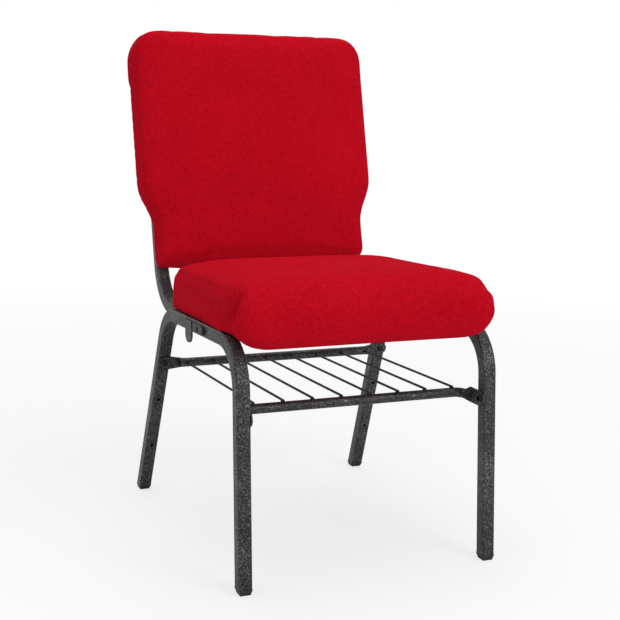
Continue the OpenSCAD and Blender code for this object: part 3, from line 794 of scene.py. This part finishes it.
class CHAIR_OT_fasteners(bpy.types.Operator):
    """Make the rack's bolts and the screws of the seat, back and bumpers"""

    bl_idname = "chair.fasteners"
    bl_label = "Bolts and screws"

    def execute(self, context):
        for node, (thickness, shank_r, shank_l, corners, finish) in FASTENERS.items():
            bm = bmesh.new()
            for middle, outward, radius in head_faces(node):
                fastener(bm, middle, outward, radius, thickness, shank_r, shank_l, corners)
            piece = piece_from(f"{node}_detail", bm)
            settle(piece, finish, [node], smooth=False)
            piece.data.shade_smooth()
            piece.data.set_sharp_from_angle(angle=math.radians(35))
        return {"FINISHED"}


class CHAIR_OT_hem(bpy.types.Operator):
    """Fold the seat's cover in under its board and staple it"""

    bl_idname = "chair.hem"
    bl_label = "Hem and staples"

    def execute(self, context):
        kit = upholstery()
        top = rail_top()
        inner = -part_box("left_seat_frame")[1].x - HEM_GAP
        board_low, board_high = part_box("seat_board")
        front_low, front_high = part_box("front_cross_member")
        rear_low, rear_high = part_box("rear_cross_member")
        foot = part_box("left_upright")[0].y
        runs = [
            (board_low.y + kit.hem, front_low.y - HEM_GAP),
            (front_high.y + HEM_GAP, rear_low.y - HEM_GAP),
            (rear_high.y + HEM_GAP, foot - HEM_GAP)]
        deep = Vector((0, kit.hem + HEM_LAP))
        between = inner - TUBE - HEM_GAP
        strips = [
            (Vector((-inner, board_low.y - HEM_LAP)), Vector((2 * inner, 0)), deep),
            (Vector((-between, board_high.y + HEM_LAP)), Vector((2 * between, 0)), -deep)]
        for side in (-1, 1):
            strips += [
                (Vector((side * inner, near)), Vector((0, far - near)), Vector((-side * kit.hem, 0)))
                for near, far in runs]
        cloth = bmesh.new()
        wire = bmesh.new()
        for corner, along, across in strips:
            self.strip(cloth, corner, along, across, top)
            self.staples(wire, corner, along, across, top)
        bmesh.ops.recalc_face_normals(cloth, faces=cloth.faces)
        hem = piece_from("seat_hem", cloth)
        staples = piece_from("hem_staples", wire)
        settle(hem, "woven_cover")
        settle(staples, "zinc_plate", smooth=False)
        return {"FINISHED"}

    def strip(self, bm, corner, along, across, top):
        """One turned-in strip of the cover with a slightly wavy raw edge."""
        pitch = upholstery().staple_pitch
        count = max(4, round(along.length / (4 * MM)))
        made = bmesh.ops.create_grid(bm, x_segments=count, y_segments=5, size=0.5)["verts"]
        for vertex in made:
            part = vertex.co.x + 0.5
            deep = vertex.co.y + 0.5
            puff = 0.5 - 0.5 * math.cos(2 * math.pi * part * along.length / pitch)
            edge = 1 + 0.05 * math.sin(47 * part) * deep
            place = corner + part * along + deep * edge * across
            height = top(place.y) - 0.25 * MM - 0.7 * MM * puff * math.sin(math.pi * min(1.0, deep))
            vertex.co = (place.x, place.y, height)
        faces = list({face for vertex in made for face in vertex.link_faces})
        bmesh.ops.solidify(bm, geom=faces, thickness=HEM_T)

    def staples(self, bm, corner, along, across, top):
        """Staples along the middle of a strip."""
        kit = upholstery()
        count = max(1, round(along.length / kit.staple_pitch))
        for i in range(count):
            place = corner + along * ((i + 0.5) / count) + 0.62 * across
            middle = Vector((place.x, place.y, top(place.y) - 0.9 * MM))
            run = Vector((along.x, along.y, 0)).normalized()
            turn = run.to_track_quat("Z", "Y").to_matrix().to_4x4()
            self.wire(bm, STAPLE_W, Matrix.Translation(middle) @ turn)
            for end in (-1, 1):
                leg = middle + end * 5.2 * MM * run + Vector((0, 0, 1.2 * MM))
                self.wire(bm, STAPLE_LEG, Matrix.Translation(leg))

    def wire(self, bm, length, place):
        """A straight piece of a staple's wire."""
        bmesh.ops.create_cone(
            bm, cap_ends=True, segments=6, radius1=STAPLE_R, radius2=STAPLE_R,
            depth=length, matrix=place)


class CHAIR_OT_finish(bpy.types.Operator):
    """Paint the frame, the rack, the plastics and the boards"""

    bl_idname = "chair.finish"
    bl_label = "Frame finishes"

    def execute(self, context):
        finishes = {
            "frame_paint": "silver_vein_paint",
            "wire_paint": "black_powder_coat",
            "black_plastic": "moulded_plastic",
            "red_fabric": "woven_cover",
            "plywood": "birch_ply",
            "zinc": "zinc_plate",
            "black_steel": "black_steel",
        }
        for row in frame["record"]["subparts"]:
            paint_object(frame["nodes"][row["node"]], finishes[row["material_slot"]])
        return {"FINISHED"}


class CHAIR_OT_stage(bpy.types.Operator):
    """Set up the camera, the pale floor and the studio lamps"""

    bl_idname = "chair.stage"
    bl_label = "Stage"

    def execute(self, context):
        scene = context.scene
        self.make_camera(scene)
        self.make_floor(scene)
        self.make_world(scene)
        kit = scene.chair_stage
        self.make_lamp(scene, "key_lamp", (1.15, -2.75, 1.8), 1.4, kit.key)
        self.make_lamp(scene, "fill_lamp", (-2.4, -0.9, 1.5), 1.8, kit.fill)
        self.make_lamp(scene, "top_lamp", (0.1, 0.2, 2.9), 2.2, kit.top)
        return {"FINISHED"}

    def make_camera(self, scene):
        """The camera, turned and tilted as the photograph's."""
        kit = scene.chair_stage
        ahead = Vector((
            math.sin(kit.yaw) * math.cos(kit.pitch),
            math.cos(kit.yaw) * math.cos(kit.pitch),
            -math.sin(kit.pitch)))
        side = Vector((math.cos(kit.yaw), -math.sin(kit.yaw), 0))
        above = side.cross(ahead)
        right = math.cos(kit.roll) * side + math.sin(kit.roll) * above
        up = math.cos(kit.roll) * above - math.sin(kit.roll) * side
        turn = Matrix((right, up, -ahead)).transposed().to_4x4()
        data = bpy.data.cameras.new("camera")
        data.lens = kit.lens
        data.sensor_width = 36
        camera = bpy.data.objects.new("camera", data)
        camera.matrix_world = Matrix.Translation(kit.place) @ turn
        scene.collection.objects.link(camera)
        scene.camera = camera

    def make_lamp(self, scene, name, place, size, power):
        """A square lamp that faces the chair's middle."""
        data = bpy.data.lights.new(name, "AREA")
        data.energy = power
        data.size = size
        lamp = bpy.data.objects.new(name, data)
        aim = Vector((0, 0, 0.42)) - Vector(place)
        turn = aim.to_track_quat("-Z", "Y").to_matrix().to_4x4()
        lamp.matrix_world = Matrix.Translation(place) @ turn
        scene.collection.objects.link(lamp)

    def make_floor(self, scene):
        """A pale floor that fades to white and keeps the chair's shadow."""
        bm = bmesh.new()
        bmesh.ops.create_grid(bm, x_segments=4, y_segments=4, size=12)
        floor = piece_from("floor", bm)
        material = bpy.data.materials.new("pale_floor")
        material.use_nodes = True
        tree = material.node_tree
        tree.nodes.clear()
        seen = add(tree, "ShaderNodeLightPath").outputs["Is Camera Ray"]
        plain = add(tree, "ShaderNodeBsdfDiffuse", {"Color": rgba(scene.chair_stage.floor)})
        glow = add(tree, "ShaderNodeEmission", {"Color": WHITE, "Strength": 1.0})
        place = add(tree, "ShaderNodeTexCoord").outputs["Object"]
        away = add(tree, "ShaderNodeVectorMath", {0: place}, operation="LENGTH")
        away = away.outputs["Value"]
        part = math_node(tree, "MULTIPLY", seen, levels(tree, away, 0.5, 2.6, 0.7, 1.0))
        both = add(tree, "ShaderNodeMixShader", {0: part, 1: plain.outputs[0], 2: glow.outputs[0]})
        add(tree, "ShaderNodeOutputMaterial", {"Surface": both.outputs[0]})
        floor.data.materials.append(material)

    def make_world(self, scene):
        """Even light, with a white background."""
        world = bpy.data.worlds.new("studio")
        scene.world = world
        world.use_nodes = True
        tree = world.node_tree
        tree.nodes.clear()
        rays = add(tree, "ShaderNodeLightPath")
        camera, through = rays.outputs["Is Camera Ray"], rays.outputs["Is Transmission Ray"]
        seen = math_node(tree, "ADD", camera, through)
        seen = math_node(tree, "MAXIMUM", seen, rays.outputs["Is Glossy Ray"])
        strength = scene.chair_stage.sky
        even = add(tree, "ShaderNodeBackground", {"Color": WHITE, "Strength": strength})
        white = add(tree, "ShaderNodeBackground", {"Color": WHITE, "Strength": 1.0})
        both = add(tree, "ShaderNodeMixShader", {0: seen, 1: even.outputs[0], 2: white.outputs[0]})
        add(tree, "ShaderNodeOutputWorld", {"Surface": both.outputs[0]})
        scene.view_settings.view_transform = "Standard"


class CHAIR_PT_panel(bpy.types.Panel):
    """Lists what makes the chair"""

    bl_label = "Conference chair"
    bl_idname = "CHAIR_PT_panel"
    bl_space_type = "VIEW_3D"
    bl_region_type = "UI"
    bl_category = "Chair"

    def draw(self, context):
        scene = context.scene
        for settings in (scene.chair_upholstery, scene.chair_frame, scene.chair_stage):
            box = self.layout.box()
            for name in settings.__annotations__:
                box.prop(settings, name)
        for operator in OPERATORS:
            self.layout.operator(operator.bl_idname)


OPERATORS = (
    CHAIR_OT_stage, CHAIR_OT_finish, CHAIR_OT_seat, CHAIR_OT_back, CHAIR_OT_rear_panel,
    CHAIR_OT_hem, CHAIR_OT_welds, CHAIR_OT_fasteners)
GROUPS = (ChairUpholstery, ChairFrame, ChairStage)


def register():
    """Registers the settings, operators and panel."""
    for item in (*GROUPS, *OPERATORS, CHAIR_PT_panel):
        bpy.utils.register_class(item)
    bpy.types.Scene.chair_upholstery = bpy.props.PointerProperty(type=ChairUpholstery)
    bpy.types.Scene.chair_frame = bpy.props.PointerProperty(type=ChairFrame)
    bpy.types.Scene.chair_stage = bpy.props.PointerProperty(type=ChairStage)


def unregister():
    """Takes them off again."""
    del bpy.types.Scene.chair_stage
    del bpy.types.Scene.chair_frame
    del bpy.types.Scene.chair_upholstery
    for item in (CHAIR_PT_panel, *reversed(OPERATORS), *reversed(GROUPS)):
        bpy.utils.unregister_class(item)


def main():
    """Makes the whole chair."""
    register()
    bpy.ops.chair.stage()
    bpy.ops.chair.finish()
    bpy.ops.chair.seat()
    bpy.ops.chair.back()
    bpy.ops.chair.rear_panel()
    bpy.ops.chair.hem()
    bpy.ops.chair.welds()
    bpy.ops.chair.fasteners()


if __name__ == "__main__":
    main()
